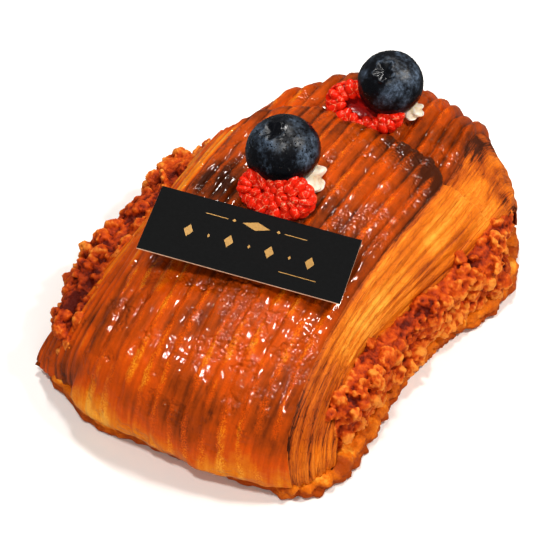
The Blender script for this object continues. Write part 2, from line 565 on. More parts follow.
class PASTRY_OT_front_flap(bpy.types.Operator):
    """Front of the dough, from the base over the top to its rounded, layered lip"""

    bl_idname = "pastry.front_flap"
    bl_label = "Front Flap"

    def execute(self, context):
        settings = context.scene.pastry.dough
        face, u = band_columns()
        end = lip_places(face, u)
        stations = np.linspace(0.0, 1.0, round(end.max() / ROW_STEP))[:, None]
        s = stations * end
        share = settings.ridge_relief * (1.0 - 0.6 * ramp(s, end - 8.0, end))
        points, fields = band_points(s, face, u, 0.0, 0.0, share)
        normal = grid_normals(points)
        ahead = points[-1] - points[-3]
        ahead /= np.linalg.norm(ahead, axis=-1, keepdims=True)
        relief_top, relief_side, toast_top, toast_side, pale = dough_detail(points, fields, face)
        top = face == TOP
        relief_side = relief_side * settings.layer_relief / MM
        relief = np.where(top, relief_top, np.where(face == UNDER, 0.0, relief_side))
        toast = np.where(top, toast_top, np.where(face == UNDER, 0.5, toast_side))
        near_lip = np.clip(1.0 - (end - s) / 9.0, 0.0, 1.0) * top
        toast += near_lip * (0.10 + 0.22 * ramp(points[..., 0], 0.0, 16.0))
        tuck = 1.6 * (1.0 - smooth_step(s / 3.0)) * (face != UNDER)
        points = points + normal * (relief - tuck)[..., None]
        flare = np.select([face == LEFT, face == UNDER], [smooth_step(u * 1.2), ramp(u, 0.5, 1.0)], 0.0)
        flare = flare * (1.0 - ramp(points[..., 1], -38.0, -8.0))
        points += flare[..., None] * np.array(LEFT_FLARE)
        thickness = np.select([top, face == UNDER], [settings.lip_height / MM / 2 + 0.2, 0.02], 0.3)
        reach = np.where(top, LIP_FALL, thickness)
        nose, nose_toast, nose_s = [], [], []
        for turn in np.linspace(0.05, 1.1, NOSE_STEPS) * math.pi:
            spot = np.stack([u * 60.0, 0 * u + 3.0 * turn, 0 * u], -1)
            layer = np.cos(9.0 * turn + 1.5 * random_field(spot, 6.0, 15)) * math.sin(min(turn, math.pi))
            layer = 0.1 * layer * top * ramp(u, 0.5, 0.9)
            nose.append(points[-1] + ahead * ((1.0 + layer) * reach * math.sin(turn))[:, None]
                        - normal[-1] * ((1.0 + layer) * thickness * (1.0 - math.cos(turn)))[:, None])
            nose_toast.append(toast[-1] + np.where(top, 0.06 - 1.5 * layer + 0.3 * (turn > 2.6), -0.12))
            nose_s.append(s[-1] + 1.6 * turn)
        points = np.concatenate([points, nose])
        toast = np.concatenate([toast, nose_toast])
        pale = np.concatenate([pale, np.tile(pale[-1], (len(nose), 1))]) * top
        uv = np.stack([np.concatenate([s, nose_s]), points[..., 0] + 30.0 * u * ~top], -1)
        materials = [finish(egg_glazed_dough), finish(cut_laminated_dough)]
        flap = write_band("front_flap", points, toast, face, materials, uv, pale)
        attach(flap, BODY)
        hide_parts("pastry_dough")
        return {"FINISHED"}


class PASTRY_OT_back_flap(bpy.types.Operator):
    """Back of the dough, from under the lip over the back end to the base"""

    bl_idname = "pastry.back_flap"
    bl_label = "Back Flap"

    def execute(self, context):
        settings = context.scene.pastry.dough
        face, u = band_columns()
        _, knots = band_curve()
        start = lip_places(face, u) - OVERLAP
        stations = np.linspace(0.0, 1.0, round((knots[-1] - start.min()) / ROW_STEP))[:, None]
        s = start + stations * (knots[-1] - start)
        tucked = 1.0 - ramp(s - start, 4.0, 14.0)
        points, fields = band_points(
            s, face, u, settings.lip_height / MM, 0.35 * tucked, settings.ridge_relief)
        normal = grid_normals(points)
        relief_top, relief_side, toast_top, toast_side, pale = dough_detail(points, fields, face)
        dimples = rough_field(points, 5.0, 3, 21)
        beyond = ramp(s - start, 9.0, 26.0)
        relief_side = relief_side * (1.0 - 0.5 * beyond) * settings.layer_relief / MM
        relief_side += 0.55 * beyond * dimples * ramp(u, 0.2, 0.6)
        toast_side = toast_side - 0.2 * beyond * dimples
        top = face == TOP
        relief = np.where(top, relief_top, np.where(face == UNDER, 0.0, relief_side))
        toast = np.where(top, toast_top + 0.02, np.where(face == UNDER, 0.5, toast_side))
        points = points + normal * relief[..., None]
        uv = np.stack([s, points[..., 0] + 30.0 * u * ~top], -1)
        materials = [finish(egg_glazed_dough), finish(cut_laminated_dough)]
        flap = write_band("back_flap", points, toast, face, materials, uv, pale * top)
        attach(flap, BODY)
        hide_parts("pastry_dough")
        return {"FINISHED"}


class PASTRY_OT_base_sheet(bpy.types.Operator):
    """Sheet of dough under the pastry, with a rough browned edge"""

    bl_idname = "pastry.base_sheet"
    bl_label = "Base Sheet"

    def execute(self, context):
        outline = np.array(BASE_OUTLINE + BASE_OUTLINE[:3])
        knots = np.concatenate([[0.0], np.cumsum(np.hypot(*np.diff(outline, axis=0).T))])
        around = read_rows(outline, knots, np.arange(knots[1], knots[-2], BASE_STEP))
        around[:, 1] = plan_y(around[:, 0], around[:, 1])
        ahead = np.roll(around, -2, axis=0) - np.roll(around, 2, axis=0)
        outward = np.stack([ahead[:, 1], -ahead[:, 0]], -1)
        outward /= np.linalg.norm(outward, axis=1, keepdims=True)
        spot = np.concatenate([around, 0 * around[:, :1]], 1)
        front = 1.0 - ramp(around[:, 1], -45.0, -25.0)
        edge = 0.55 * rough_field(spot, 5.0, 3, 31) - front * (2.4 - ramp(around[:, 0], -20.0, 0.0))
        points, toast = [], []
        for inset, level in BASE_PROFILE:
            spot[:, 2] = level
            shift = edge - inset + 0.22 * random_field(spot, 1.4, 33) * (inset < 3.0)
            ring = np.concatenate([around + outward * shift[:, None], np.full((len(around), 1), level)], 1)
            if level > 0.3:
                open_side = ramp(spot[:, 0], 20.0, 34.0)
                lumps = np.abs(random_field(spot, 4.2, 36)) + 0.5 * np.abs(random_field(spot, 1.9, 37)) - 0.4
                ring[:, :2] += outward * (lumps * open_side * 1.6 * (inset < 2.5))[:, None]
                ring[:, 2] += 0.25 * random_field(spot, 2.5, 34) + lumps * open_side * 1.3 * (level > 4.0)
            points.append(ring)
            toast.append(0.84 - 0.09 * level + 0.25 * rough_field(spot, 3.0, 3, 35))
        points, toast = np.array(points), np.array(toast)
        face = np.full(len(around), RIGHT)
        run = np.arange(len(around)) * BASE_STEP
        level = np.cumsum(np.linalg.norm(np.diff(points, axis=0, prepend=points[:1]), axis=-1), axis=0)
        uv = np.stack([run + 0.0 * level, level], -1)
        sheet = write_band("base_sheet", points, toast, face, [finish(baked_base_dough)] * 2, uv)
        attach(sheet, BODY)
        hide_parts("pastry_dough")
        return {"FINISHED"}


def add(tree, kind, inputs=None, **settings):
    """Add a node with its settings; inputs holds values, sockets to link from or nodes to link from."""
    node = tree.nodes.new(kind)
    for key, value in settings.items():
        setattr(node, key, value)
    for key, value in (inputs or {}).items():
        if isinstance(value, bpy.types.Node):
            value = value.outputs[0]
        if isinstance(value, bpy.types.NodeSocket):
            tree.links.new(value, node.inputs[key])
        else:
            node.inputs[key].default_value = value
    return node


def finish(describe):
    """Material that a function describes, made when first asked for and named after the function."""
    name = describe.__name__
    if name not in bpy.data.materials:
        material = bpy.data.materials.new(name)
        material.use_nodes = True
        tree = material.node_tree
        tree.nodes.clear()
        coordinates = add(tree, "ShaderNodeTexCoord").outputs["Object"]
        shader = add(tree, "ShaderNodeBsdfPrincipled", describe(tree, coordinates))
        add(tree, "ShaderNodeOutputMaterial", {"Surface": shader})
    return bpy.data.materials[name]


def colour_ramp(tree, value, stops):
    """Colour ramp read at a value, from pairs of place and colour."""
    node = add(tree, "ShaderNodeValToRGB", {0: value})
    elements = node.color_ramp.elements
    elements[0].position, elements[1].position = stops[0][0], stops[-1][0]
    elements[0].color, elements[1].color = (*stops[0][1], 1.0), (*stops[-1][1], 1.0)
    for place, colour in stops[1:-1]:
        elements.new(place).color = (*colour, 1.0)
    return node


def plus(tree, value, *terms):
    """A value plus other values, each given with its weight."""
    for term, weight in terms:
        value = add(tree, "ShaderNodeMath", {0: term, 1: weight, 2: value}, operation="MULTIPLY_ADD")
    return value


def centred_noise(tree, coordinates, size, detail, roughness=0.5):
    """Noise round 0, with its size in millimetres."""
    field = add(tree, "ShaderNodeTexNoise", {
        "Vector": coordinates, "Scale": 1.0 / (size * MM), "Detail": detail, "Roughness": roughness})
    return add(tree, "ShaderNodeMath", {0: field, 1: -0.5}, operation="ADD")


def varied(tree, attribute, coordinates, patterns):
    """An attribute plus patterns of noise, each given as its size in millimetres and its strength."""
    value = add(tree, "ShaderNodeAttribute", attribute_name=attribute).outputs["Fac"]
    noises = [(centred_noise(tree, coordinates, size, 3.0), strength) for size, strength in patterns]
    return plus(tree, value, *noises)


def stretched_noise(tree, scale, detail, distortion=0.0):
    """Noise drawn out along the sheet of dough; a scale of 100 makes lumps of a millimetre."""
    sheet = add(tree, "ShaderNodeUVMap", uv_map="sheet")
    spread = add(tree, "ShaderNodeMapping", {"Vector": sheet, "Scale": scale})
    return add(tree, "ShaderNodeTexNoise", {
        "Vector": spread, "Scale": 1.0, "Detail": detail, "Distortion": distortion})


def thin_lines(tree, value, width):
    """1 along the lines where a noise passes its middle, 0 elsewhere."""
    off = add(tree, "ShaderNodeMath", {0: value, 1: -0.5}, operation="ADD")
    off = add(tree, "ShaderNodeMath", {0: off}, operation="ABSOLUTE")
    return add(tree, "ShaderNodeMapRange", {0: off, 1: 0.0, 2: width, 3: 1.0, 4: 0.0})


def grainy(tree, coordinates, size, detail, strength, depth, roughness=0.5):
    """Bump of a fine grain whose size and depth are in millimetres."""
    grain = add(tree, "ShaderNodeTexNoise", {
        "Vector": coordinates, "Scale": 1.0 / (size * MM), "Detail": detail, "Roughness": roughness})
    return add(tree, "ShaderNodeBump", {"Height": grain, "Strength": strength, "Distance": depth * MM})


def egg_glazed_dough(tree, coordinates):
    """Egg-glazed laminated dough, oven browned: a hard shiny skin, pimpled by small steam blisters."""
    colours = bpy.context.scene.pastry.dough
    pale = add(tree, "ShaderNodeAttribute", attribute_name="pale").outputs["Fac"]
    speck = add(tree, "ShaderNodeMath", {0: centred_noise(tree, coordinates, 0.36, 2.0), 1: pale},
                operation="MULTIPLY")
    streaks = stretched_noise(tree, (7.0, 80.0, 1.0), 4.0, 0.3)
    toast = varied(tree, "toast", coordinates, ((2.2, 0.16), (0.7, 0.12)))
    toast = plus(tree, toast, (speck, 1.1), (streaks, 0.40), (1.0, -0.145))
    stops = ((0.05, colours.glaze_pale), (0.28, colours.glaze_gold), (0.5, colours.glaze_amber),
             (0.75, colours.glaze_brown), (1.0, colours.glaze_dark))
    blisters = add(tree, "ShaderNodeTexVoronoi", {
        "Vector": coordinates, "Scale": 1.0 / (1.1 * MM), "Smoothness": 0.3}, feature="SMOOTH_F1")
    swell = add(tree, "ShaderNodeTexNoise", {
        "Vector": coordinates, "Scale": 1.0 / (5.0 * MM), "Detail": 2.0})
    patches = add(tree, "ShaderNodeAttribute", attribute_name="blisters").outputs["Fac"]
    crowd = plus(tree, swell, (patches, 0.20))
    depth = add(tree, "ShaderNodeMapRange", {0: crowd, 1: 0.57, 2: 0.68, 3: -0.02, 4: -1.0})
    domes = add(tree, "ShaderNodeMath", {0: blisters, 1: depth}, operation="MULTIPLY")
    skin = add(tree, "ShaderNodeBump", {
        "Height": plus(tree, domes, (streaks, -0.25)), "Strength": 1.0, "Distance": 0.6 * MM})
    bump = grainy(tree, coordinates, 0.45, 4.0, 0.6, 0.2)
    tree.links.new(skin.outputs[0], bump.inputs["Normal"])
    return {"Base Color": colour_ramp(tree, toast, stops), "Normal": bump, "Coat Normal": skin,
            "Roughness": 0.4, "IOR": 1.46, "Specular IOR Level": 0.06, "Coat Weight": 0.7,
            "Coat Roughness": 0.06, "Coat IOR": 1.5}


def cut_laminated_dough(tree, coordinates):
    """Bare laminated dough where the sheet was cut: matte, drawn out in fine parallel layers."""
    colours = bpy.context.scene.pastry.dough
    layers = stretched_noise(tree, (3.5, 90.0, 1.0), 4.0)
    cracks = thin_lines(tree, stretched_noise(tree, (1.6, 20.0, 1.0), 2.0), 0.018)
    threads = thin_lines(tree, stretched_noise(tree, (2.5, 60.0, 1.0), 2.0), 0.03)
    sheet = add(tree, "ShaderNodeUVMap", uv_map="sheet")
    net = add(tree, "ShaderNodeMapping", {"Vector": sheet, "Scale": (30.0, 62.0, 1.0)})
    net = add(tree, "ShaderNodeTexVoronoi", {"Vector": net, "Scale": 1.0}, feature="DISTANCE_TO_EDGE")
    net = add(tree, "ShaderNodeMapRange", {0: net, 1: 0.0, 2: 0.09, 3: 1.0, 4: 0.0})
    toast = varied(tree, "toast", coordinates, ((1.6, 0.14), (0.5, 0.12)))
    toast = plus(tree, toast, (layers, 0.36), (cracks, 0.22), (threads, 0.17), (net, 0.14), (1.0, -0.21))
    stops = ((0.05, colours.cut_light), (0.42, colours.cut_mid), (0.8, colours.cut_dark),
             (1.0, colours.glaze_dark))
    grain = add(tree, "ShaderNodeTexNoise", {
        "Vector": coordinates, "Scale": 1.0 / (0.5 * MM), "Detail": 4.0})
    height = plus(tree, grain, (layers, -0.8), (cracks, -0.8), (net, -0.3), (threads, -0.4))
    bump = add(tree, "ShaderNodeBump", {"Height": height, "Strength": 0.6, "Distance": 0.3 * MM})
    return {"Base Color": colour_ramp(tree, toast, stops), "Normal": bump, "Roughness": 0.55,
            "IOR": 1.45, "Specular IOR Level": 0.3}


def baked_base_dough(tree, coordinates):
    """Underside sheet of the dough: dry, tan, browned along its rough edge and flecked with crumbs."""
    colours = bpy.context.scene.pastry.dough
    toast = varied(tree, "toast", coordinates, ((3.0, 0.5), (0.9, 0.6)))
    stops = ((0.05, colours.cut_light), (0.3, colours.cut_mid), (0.75, colours.cut_dark))
    return {"Base Color": colour_ramp(tree, toast, stops),
            "Normal": grainy(tree, coordinates, 0.8, 4.0, 0.9, 0.4), "Roughness": 0.6, "IOR": 1.45,
            "Specular IOR Level": 0.25}


def baked_almond_crumb(tree, coordinates):
    """Almond crumb, caramelised outside and pale where it broke: dull, coarse and a little buttery."""
    colours = bpy.context.scene.pastry.filling
    toast = varied(tree, "toast", coordinates, ((3.5, 0.35), (1.0, 0.35)))
    stops = ((0.05, colours.crumb_light), (0.4, colours.crumb_mid), (0.68, colours.crumb_brown),
             (1.0, colours.crumb_dark))
    return {"Base Color": colour_ramp(tree, toast, stops),
            "Normal": grainy(tree, coordinates, 0.6, 5.0, 0.9, 0.4, 0.65), "Roughness": 0.5, "IOR": 1.45,
            "Specular IOR Level": 0.25}


def blueberry_skin_with_bloom(tree, coordinates):
    """Ripe blueberry: near-black skin under a pale wax bloom that has rubbed off in patches."""
    colours = bpy.context.scene.pastry.topping
    bloom = varied(tree, "bloom", coordinates, ((3.5, 1.0), (0.9, 0.9), (0.3, 0.6)))
    dull = tuple(0.28 * c for c in colours.bloom)
    stops = ((0.38, colours.skin), (0.66, dull), (1.0, colours.bloom))
    wax = add(tree, "ShaderNodeMapRange", {0: bloom, 1: -0.5, 2: 0.8, 3: 0.05, 4: 0.50})
    return {"Base Color": colour_ramp(tree, bloom, stops),
            "Normal": grainy(tree, coordinates, 0.6, 4.0, 0.3, 0.12), "Roughness": wax, "IOR": 1.45}


def cut_raspberry_flesh(tree, coordinates):
    """Cut raspberry: thin glossy skins full of juice over pale pithy walls."""
    colours = bpy.context.scene.pastry.topping
    bent = add(tree, "ShaderNodeTexNoise", {
        "Vector": coordinates, "Scale": 1.0 / (1.5 * MM), "Detail": 2.0}).outputs["Color"]
    bent = add(tree, "ShaderNodeVectorMath", {0: bent, "Scale": 1.6 * MM}, operation="SCALE")
    bent = add(tree, "ShaderNodeVectorMath", {0: bent, 1: coordinates}, operation="ADD")
    walls = add(tree, "ShaderNodeTexVoronoi", {"Vector": bent, "Scale": 1.0 / (1.9 * MM)},
                feature="DISTANCE_TO_EDGE")
    walls = add(tree, "ShaderNodeMapRange", {0: walls, 1: 0.0, 2: 0.07, 3: 1.0, 4: 0.0})
    ripe = varied(tree, "ripe", coordinates, ((2.0, 0.3), (0.5, 0.3)))
    ripe = plus(tree, ripe, (walls, -0.22))
    stops = ((0.0, colours.pith), (0.17, colours.drupelet), (0.45, colours.drupelet), (0.8, colours.juice))
    return {"Base Color": colour_ramp(tree, ripe, stops),
            "Normal": grainy(tree, coordinates, 0.7, 2.0, 0.25, 0.15), "Roughness": 0.25, "IOR": 1.38,
            "Subsurface Weight": 0.35, "Subsurface Radius": (1.0, 0.15, 0.1),
            "Subsurface Scale": 1.0 * MM}


def fresh_whipped_cream(tree, coordinates):
    """Whipped cream: soft, faintly yellow and translucent, dull with a fine moist sheen."""
    cream = bpy.context.scene.pastry.topping.cream
    shade = varied(tree, "fold", coordinates, ((1.2, 0.3),))
    stops = ((0.1, cream), (0.9, tuple(c * f for c, f in zip(cream, (0.86, 0.76, 0.60)))))
    return {"Base Color": colour_ramp(tree, shade, stops),
            "Normal": grainy(tree, coordinates, 0.5, 3.0, 0.2, 0.1), "Roughness": 0.42,
            "Subsurface Weight": 0.5, "Subsurface Radius": (1.0, 0.8, 0.55), "Subsurface Scale": 1.0 * MM}


def card_stock(tree, coordinates, colour):
    """Uncoated card: flat colour with a faint felted tooth."""
    tooth = add(tree, "ShaderNodeTexNoise", {
        "Vector": coordinates, "Scale": 1.0 / (0.8 * MM), "Detail": 4.0})
    stops = ((0.3, tuple(0.85 * c for c in colour)), (0.7, tuple(1.2 * c for c in colour)))
    return {"Base Color": colour_ramp(tree, tooth, stops),
            "Normal": grainy(tree, coordinates, 0.8, 4.0, 0.15, 0.05), "Roughness": 0.7,
            "Specular IOR Level": 0.12}


def black_card(tree, coordinates):
    """Black dyed card: dull, with a faint felted tooth."""
    return card_stock(tree, coordinates, bpy.context.scene.pastry.topping.paper)


def card_edge(tree, coordinates):
    """Bare cut edge of the card: pale undyed fibre."""
    return card_stock(tree, coordinates, bpy.context.scene.pastry.topping.paper_edge)


def gold_ink(tree, coordinates):
    """Gold ink printed on the card: dull metallic yellow."""
    foil = bpy.context.scene.pastry.topping.foil
    grain = add(tree, "ShaderNodeTexNoise", {
        "Vector": coordinates, "Scale": 1.0 / (0.5 * MM), "Detail": 3.0})
    stops = ((0.3, tuple(0.75 * c for c in foil)), (0.7, foil))
    return {"Base Color": colour_ramp(tree, grain, stops), "Metallic": 0.3, "Roughness": 0.45}


def pale_floor(tree, coordinates):
    """Painted studio floor: matte, near white and without a pattern."""
    return {"Base Color": (*bpy.context.scene.pastry.stage.floor, 1.0), "Roughness": 0.9}


def run_tree(obj, tree, values):
    """Run a Geometry Nodes tree on an object with the given inputs and keep the plain mesh."""
    modifier = obj.modifiers.new(tree.name, "NODES")
    modifier.node_group = tree
    for item in tree.interface.items_tree:
        if item.item_type == "SOCKET" and item.in_out == "INPUT" and item.name in values:
            modifier[item.identifier] = values[item.name]
    bpy.context.view_layer.update()
    mesh = bpy.data.meshes.new_from_object(obj.evaluated_get(bpy.context.evaluated_depsgraph_get()))
    for slot in reversed(range(len(mesh.materials))):
        if mesh.materials[slot] is None:
            mesh.materials.pop(index=slot)
    obj.modifiers.clear()
    obj.data = mesh
    return mesh


def new_tree(name, inputs):
    """Geometry Nodes tree with a geometry in and out and named inputs given as name: socket type."""
    tree = bpy.data.node_groups.new(name, "GeometryNodeTree")
    for way in ("INPUT", "OUTPUT"):
        tree.interface.new_socket("Geometry", in_out=way, socket_type="NodeSocketGeometry")
    for key, kind in inputs.items():
        tree.interface.new_socket(key, in_out="INPUT", socket_type=kind)
    return tree, add(tree, "NodeGroupInput").outputs


def strew(tree, given, share, spacing, piece, size, turn=None):
    """A tree's geometry with copies of a piece strewn over it, all as real geometry.

    Where share is 1 the copies lie about the spacing apart. Without a turn they stand on the surface.
    """
    square = add(tree, "ShaderNodeMath", {0: spacing, 1: 2.0}, operation="POWER")
    density = add(tree, "ShaderNodeMath", {0: share, 1: square}, operation="DIVIDE")
    points = add(tree, "GeometryNodeDistributePointsOnFaces", {
        "Mesh": given["Geometry"], "Density": density, "Seed": given["Seed"]}, distribute_method="RANDOM")
    strewn = add(tree, "GeometryNodeInstanceOnPoints", {
        "Points": points, "Instance": piece, "Rotation": turn or points.outputs["Rotation"], "Scale": size})
    both = add(tree, "GeometryNodeJoinGeometry", {0: given["Geometry"]})
    tree.links.new(strewn.outputs[0], both.inputs[0])
    return add(tree, "GeometryNodeRealizeInstances", {"Geometry": both})


def finish_tree(tree, geometry, material):
    """Smooth the geometry, give it its material and lead it out of the tree."""
    smooth = add(tree, "GeometryNodeSetShadeSmooth", {0: geometry})
    done = add(tree, "GeometryNodeSetMaterial", {"Geometry": smooth, "Material": material})
    add(tree, "NodeGroupOutput", {0: done})
    return tree


def crumb_tree(material):
    """Crumbs strewn over the open sides of the filling and fused with it into one craggy body."""
    tree, given = new_tree("fused_crumbs", {
        "Crumb Size": "NodeSocketFloat", "Crumb Spacing": "NodeSocketFloat", "Voxel": "NodeSocketFloat",
        "Seed": "NodeSocketInt"})
    shown = add(tree, "GeometryNodeInputNamedAttribute", {"Name": "shown"}, data_type="FLOAT")
    crumb = add(tree, "GeometryNodeMeshIcoSphere", {"Radius": 1.0, "Subdivisions": 3})
    place = add(tree, "GeometryNodeInputPosition")
    shift = add(tree, "ShaderNodeTexNoise", {"Vector": place, "Scale": 1.1, "Detail": 1.0}).outputs["Color"]
    shift = add(tree, "ShaderNodeVectorMath", {0: shift, 1: (-0.5, -0.5, -0.5)}, operation="ADD")
    shift = add(tree, "ShaderNodeVectorMath", {0: shift, "Scale": 0.4}, operation="SCALE")
    crumb = add(tree, "GeometryNodeSetPosition", {"Geometry": crumb, "Offset": shift})
    turn, stretch = (
        add(tree, "FunctionNodeRandomValue", {0: low, 1: high, "Seed": given["Seed"]},
            data_type="FLOAT_VECTOR")
        for low, high in (((0.0, 0.0, 0.0), (6.28, 6.28, 6.28)), ((0.35, 0.35, 0.35), (1.3, 1.2, 1.1))))
    size = add(tree, "ShaderNodeVectorMath", {0: stretch, "Scale": given["Crumb Size"]}, operation="SCALE")
    body = strew(tree, given, shown, given["Crumb Spacing"], crumb, size, turn)
    body = add(tree, "GeometryNodeMeshToVolume", {
        "Mesh": body, "Voxel Size": given["Voxel"], "Interior Band Width": 2.0 * MM},
        resolution_mode="VOXEL_SIZE")
    body = add(tree, "GeometryNodeVolumeToMesh", {"Volume": body, "Threshold": 0.1, "Adaptivity": 0.0},
               resolution_mode="GRID")
    pits = centred_noise(tree, place, 2.2, 4.0, 0.65)
    depth = add(tree, "ShaderNodeMath", {0: pits, 1: 3.0 * MM}, operation="MULTIPLY")
    normal = add(tree, "GeometryNodeInputNormal")
    offset = add(tree, "ShaderNodeVectorMath", {0: normal, "Scale": depth}, operation="SCALE")
    body = add(tree, "GeometryNodeSetPosition", {"Geometry": body, "Offset": offset})
    return finish_tree(tree, body, material)


def droplet_tree(material):
    """Tiny drops of water on the upper side of a berry."""
    tree, given = new_tree("water_droplets", {
        "Droplet Size": "NodeSocketFloat", "Droplet Spacing": "NodeSocketFloat", "Seed": "NodeSocketInt"})
    level = add(tree, "ShaderNodeSeparateXYZ", {0: add(tree, "GeometryNodeInputNormal")}).outputs["Z"]
    upper = add(tree, "ShaderNodeMapRange", {0: level, 1: -0.1, 2: 0.4, 3: 0.0, 4: 1.0})
    drop = add(tree, "GeometryNodeMeshIcoSphere", {"Radius": 1.0, "Subdivisions": 2})
    drop = add(tree, "GeometryNodeStoreNamedAttribute", {"Geometry": drop, "Name": "bloom", "Value": -0.6},
               data_type="FLOAT", domain="POINT")
    spread = add(tree, "FunctionNodeRandomValue", {2: 0.3, 3: 1.3, "Seed": given["Seed"]}, data_type="FLOAT")
    size = add(tree, "ShaderNodeVectorMath", {0: (1.0, 1.0, 0.6), "Scale": given["Droplet Size"]},
               operation="SCALE")
    size = add(tree, "ShaderNodeVectorMath", {0: size, "Scale": spread.outputs[1]}, operation="SCALE")
    beaded = strew(tree, given, upper, given["Droplet Spacing"], drop, size)
    return finish_tree(tree, beaded, material)


def drupelet_tree(material):
    """A plump drupelet on every vertex, turned and sized by the attributes turn and size."""
    tree, given = new_tree("drupelets", {"Fineness": "NodeSocketInt"})
    ball = add(tree, "GeometryNodeMeshIcoSphere", {"Radius": 1.0, "Subdivisions": given["Fineness"]})
    level = add(tree, "ShaderNodeSeparateXYZ", {0: add(tree, "GeometryNodeInputPosition")}).outputs["Z"]
    ripe = add(tree, "ShaderNodeMapRange", {0: level, 1: -0.3, 2: 0.8, 3: 0.95, 4: 0.26})
    ball = add(tree, "GeometryNodeStoreNamedAttribute", {"Geometry": ball, "Name": "ripe", "Value": ripe},
               data_type="FLOAT", domain="POINT")
    turn, size = (add(tree, "GeometryNodeInputNamedAttribute", {"Name": name}, data_type="FLOAT_VECTOR")
                  for name in ("turn", "size"))
    grown = add(tree, "GeometryNodeInstanceOnPoints", {
        "Points": given["Geometry"], "Instance": ball, "Rotation": turn, "Scale": size})
    real = add(tree, "GeometryNodeRealizeInstances", {"Geometry": grown})
    return finish_tree(tree, real, material)


def read_values(items, key, width, kind=float):
    """Values that every vertex or edge holds under a key, one row for each."""
    values = np.empty(len(items) * width, kind)
    items.foreach_get(key, values)
    return values.reshape(-1, width)


def hollowness(mesh, steps):
    """How deep each vertex lies below its smoothed surroundings, in millimetres."""
    count = len(mesh.vertices)
    points = read_values(mesh.vertices, "co", 3) / MM
    a, b = read_values(mesh.edges, "vertices", 2, np.int32).T
    ties = np.bincount(a, minlength=count) + np.bincount(b, minlength=count)
    smooth = points.copy()
    for _ in range(steps):
        total = np.stack([np.bincount(a, column[b], count) + np.bincount(b, column[a], count)
                          for column in smooth.T], -1)
        smooth = total / np.maximum(ties, 1)[:, None]
    return ((smooth - points) * read_values(mesh.vertices, "normal", 3)).sum(-1), points


def form_mesh(form, name):
    """Mesh of a form that is no longer needed after it."""
    mesh = bpy.data.meshes.new(name)
    form.to_mesh(mesh)
    form.free()
    return mesh


def split_mesh(mesh, sign):
    """Copy of a mesh cut at x = 0 and closed there, keeping the side of the given sign."""
    form = bmesh.new()
    form.from_mesh(mesh)
    cut = bmesh.ops.bisect_plane(
        form, geom=form.verts[:] + form.edges[:] + form.faces[:], plane_co=(0.0, 0.0, 0.0),
        plane_no=(-sign, 0.0, 0.0), clear_outer=True)
    rim = [item for item in cut["geom_cut"] if isinstance(item, bmesh.types.BMEdge)]
    bmesh.ops.triangle_fill(form, edges=rim, use_beauty=True)
    bmesh.ops.recalc_face_normals(form, faces=form.faces)
    return form_mesh(form, "half")


class PASTRY_OT_filling(bpy.types.Operator):
    """Crumbly filling that shows at both open sides"""

    bl_idname = "pastry.filling"
    bl_label = "Crumb Filling"

    def execute(self, context):
        settings = context.scene.pastry.filling
        material = finish(baked_almond_crumb)
        form = bmesh.new()
        form.from_mesh(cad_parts["crumb_filling"].data)
        bmesh.ops.remove_doubles(form, verts=form.verts, dist=0.001 * MM)
        body = new_object("crumbs", form_mesh(form, "crumbs"))
        normals = read_values(body.data.vertices, "normal", 3)
        places = read_values(body.data.vertices, "co", 3) / MM
        open_side = (np.abs(normals[:, 0]) > 0.3) & (np.abs(places[:, 0]) > OPEN_SIDE_X)
        shown = body.data.attributes.new("shown", "FLOAT", "POINT")
        shown.data.foreach_set("value", open_side.astype(np.float32))
        mesh = run_tree(body, crumb_tree(material), {
            "Crumb Size": settings.crumb_size, "Crumb Spacing": settings.crumb_spacing,
            "Voxel": settings.voxel, "Seed": CRUMB_SEED})
        for side, sign in (("left", -1.0), ("right", 1.0)):
            half = split_mesh(mesh, sign)
            pits, points = hollowness(half, PIT_STEPS)
            broad_pits = hollowness(half, BROAD_PIT_STEPS)[0]
            _, y, z = points.T
            toast = 0.42 + 0.7 * pits + 0.26 * broad_pits + 0.22 * rough_field(points, 7.0, 3, 41)
            toast += 0.25 * ramp(z, 13.0, 17.0) + 0.24 * ramp(y, 12.0, 42.0)
            toast += 0.2 * (1.0 - ramp(y, -42.0, -22.0))
            half.attributes.new("toast", "FLOAT", "POINT").data.foreach_set("value", toast.astype(np.float32))
            half.shade_smooth()
            half.materials.append(material)
            piece = new_object(f"crumbs_{side}", half)
            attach(piece, BODY)
            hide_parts("crumb_filling")
        bpy.data.objects.remove(body, do_unlink=True)
        return {"FINISHED"}


def turned_frame(axis, along=(1.0, 0.0, 0.0)):
    """Columns of a rotation whose Z is the given axis and whose X lies near along."""
    z = np.array(axis) / np.linalg.norm(axis)
    x = np.array(along) - z * np.dot(z, along)
    x /= np.linalg.norm(x)
    return np.stack([x, np.cross(z, x), z], -1)


def sphere_grid(sides, rings):
    """Angles round and down a sphere at each vertex of a grid without its poles."""
    around = np.arange(sides) * 2.0 * math.pi / sides
    polar = np.linspace(0.0, math.pi, rings + 2)[1:-1]
    return np.meshgrid(around, polar)


def node_centre(name):
    """Middle of a solid's box, in millimetres of the plan."""
    low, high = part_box(name)
    return (np.array(low) + np.array(high)) / 2.0 / MM - PLAN_SHIFT


def write_round(name, points, material, key, field, end_values):
    """Closed piece from a grid of points, with the field that its material reads."""
    flat, values = close_grid(points, field, end_values)
    return write_mesh(name, flat, grid_faces(*points.shape[:2]), [material], {key: values})


